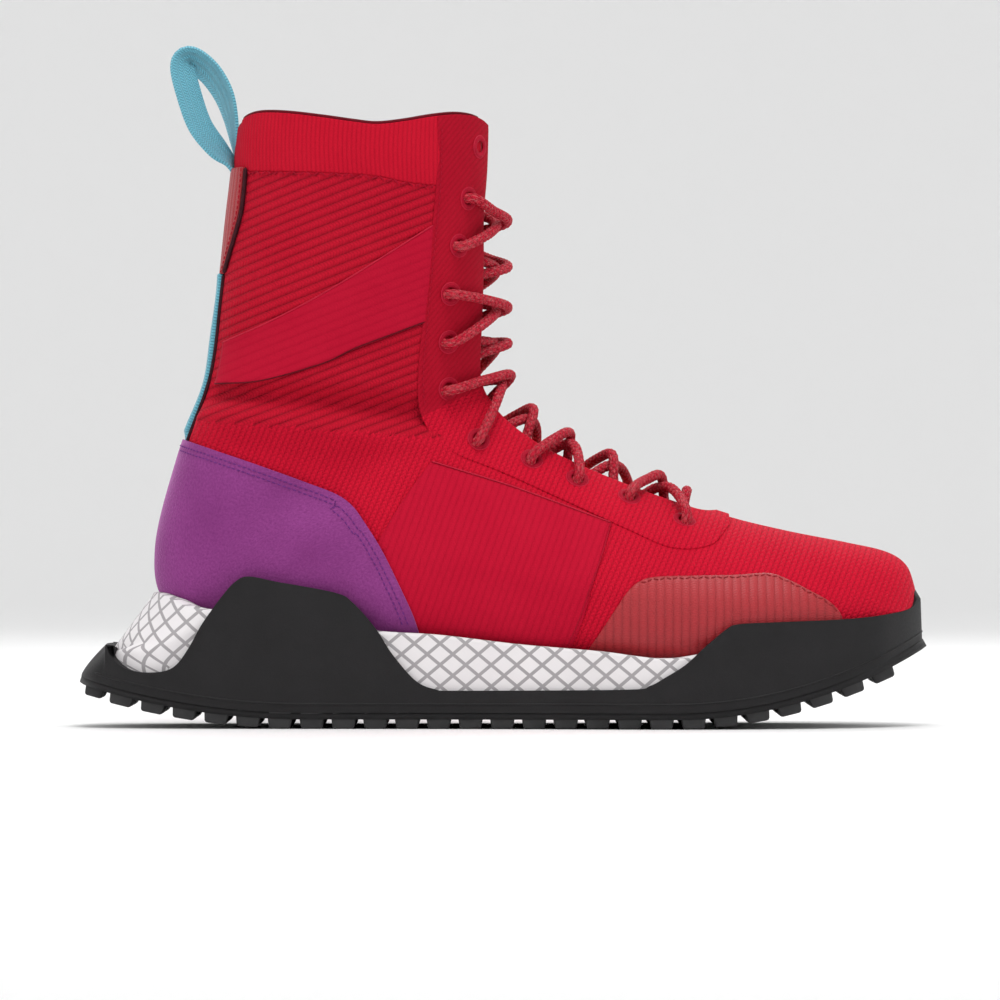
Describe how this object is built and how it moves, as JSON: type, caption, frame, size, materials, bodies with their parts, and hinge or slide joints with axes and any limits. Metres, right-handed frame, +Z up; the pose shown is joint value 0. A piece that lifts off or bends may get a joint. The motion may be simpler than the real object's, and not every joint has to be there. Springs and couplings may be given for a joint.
{
  "type": "lace-up knitted boxing boot",
  "caption": "Right high-top knitted lace-up boot with a ribbed shaft, suede heel counter, webbing pull loop, foam midsole and lugged rubber sole that wraps the heel and toe.",
  "frame": {"origin": "on the ground, under the middle of the sole's plan outline", "axes": "+X towards the toe, +Z up, -Y towards the lateral (outer) side of this right boot"},
  "size_m": [0.312, 0.102, 0.2487],
  "materials": {
    "tread_rubber": "matte moulded rubber",
    "midsole_foam": "white foam with a printed grey net",
    "lasting_board": "plain fibre board",
    "liner_textile": "brushed textile on foam",
    "rib_knit": "ribbed red knit",
    "smooth_knit": "fine smooth red knit",
    "tonal_knit": "tonal red knit overlay",
    "film": "semi-gloss bonded film",
    "suede": "napped purple suede",
    "webbing": "herringbone teal webbing",
    "lace_braid": "round braid with light flecks",
    "eyelet_stitching": "satin stitched ring",
    "aglet_plastic": "clear film rolled on the braid"
  },
  "bodies": {
    "foot": {"outsole": "tread_rubber", "midsole": "midsole_foam", "strobel_board": "lasting_board", "sockliner": "liner_textile", "heel_stiffener": "lasting_board", "toe_puff": "lasting_board", "knit_foot": "rib_knit", "knit_ankle": "rib_knit", "heel_counter": "suede", "tongue": "smooth_knit", "lace": "lace_braid", "saddle_panel_lateral": "tonal_knit", "toe_guard_lateral": "film", "vamp_facing_lateral": "smooth_knit", "eyelet_07_lateral": "eyelet_stitching", "eyelet_08_lateral": "eyelet_stitching", "eyelet_09_lateral": "eyelet_stitching", "eyelet_10_lateral": "eyelet_stitching", "eyelet_11_lateral": "eyelet_stitching", "saddle_panel_medial": "tonal_knit", "toe_guard_medial": "film", "vamp_facing_medial": "smooth_knit", "eyelet_07_medial": "eyelet_stitching", "eyelet_08_medial": "eyelet_stitching", "eyelet_09_medial": "eyelet_stitching", "eyelet_10_medial": "eyelet_stitching", "eyelet_11_medial": "eyelet_stitching"},
    "shaft": {"knit_shaft": "rib_knit", "collar_band": "rib_knit", "heel_tab": "film", "spine_tape": "webbing", "shaft_facing_lateral": "smooth_knit", "shaft_strap_lateral": "tonal_knit", "aglet_lateral": "aglet_plastic", "eyelet_01_lateral": "eyelet_stitching", "eyelet_02_lateral": "eyelet_stitching", "eyelet_03_lateral": "eyelet_stitching", "eyelet_04_lateral": "eyelet_stitching", "eyelet_05_lateral": "eyelet_stitching", "eyelet_06_lateral": "eyelet_stitching", "shaft_facing_medial": "smooth_knit", "shaft_strap_medial": "tonal_knit", "aglet_medial": "aglet_plastic", "eyelet_01_medial": "eyelet_stitching", "eyelet_02_medial": "eyelet_stitching", "eyelet_03_medial": "eyelet_stitching", "eyelet_04_medial": "eyelet_stitching", "eyelet_05_medial": "eyelet_stitching", "eyelet_06_medial": "eyelet_stitching"},
    "loop": {"pull_loop": "webbing"}
  },
  "joints": [
    {"name": "ankle_flex", "type": "hinge", "parent": "foot", "child": "shaft", "pos_m": [-0.03, 0, 0.11], "axis": [0, 1, 0], "range_deg": [-10, 12], "stiffness_Nm_per_rad": 2, "deforming": ["knit_ankle", "tongue", "lace", "spine_tape"]},
    {"name": "pull_loop_swing", "type": "hinge", "parent": "shaft", "child": "loop", "pos_m": [-0.1024, 0, 0.207], "axis": [0, 1, 0], "range_deg": [-65, 0], "stiffness_Nm_per_rad": 0.05}
  ]
}
